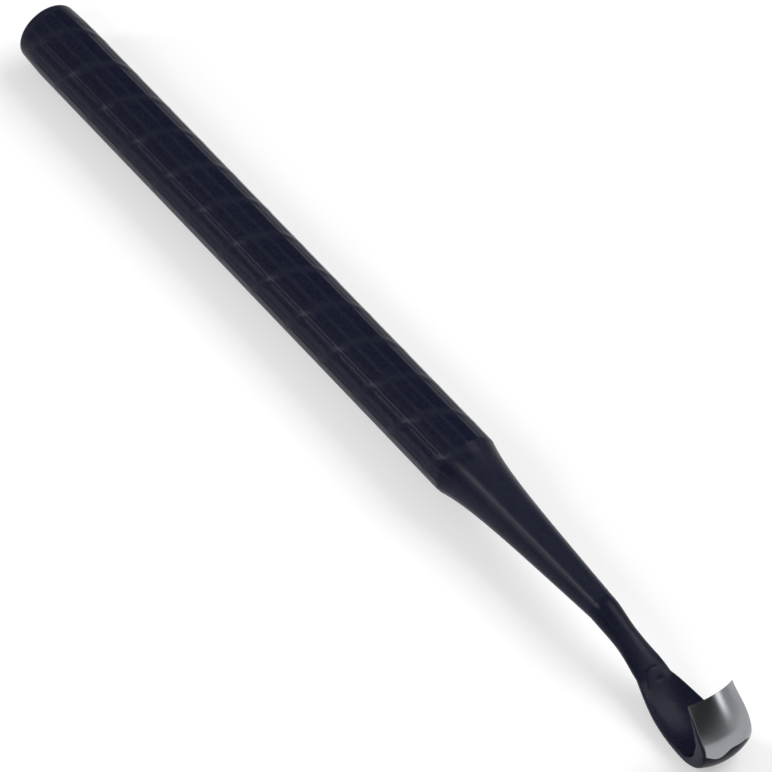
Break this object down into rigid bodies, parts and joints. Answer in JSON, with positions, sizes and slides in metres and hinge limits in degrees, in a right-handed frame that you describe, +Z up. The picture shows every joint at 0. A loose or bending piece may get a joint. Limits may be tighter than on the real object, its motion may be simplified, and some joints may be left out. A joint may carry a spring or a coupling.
{
  "type": "hooked gouge",
  "caption": "All-steel hooked gouge: round fluted grip, tapered nose, thin neck and a small scoop that curls back to a bright cutting edge.",
  "frame": {"origin": "on the surface the tool lies on, below the middle of its box", "axes": "+X along the tool from butt to tip, +Y across it, +Z up, the way the scoop opens"},
  "size_m": [0.1906, 0.012, 0.0159],
  "materials": {
    "oxide_grip": "blue-black oxidised steel, satin, with fine bright specks and rubbed ribs",
    "oxide_blade": "blue-black oxidised forged steel, satin, slightly lighter on the rims",
    "ground_steel": "bright ground steel with fine grind lines"
  },
  "bodies": {
    "root": {"handle": "oxide_grip", "blade": "oxide_blade", "cutting_steel": "ground_steel"}
  },
  "joints": []
}
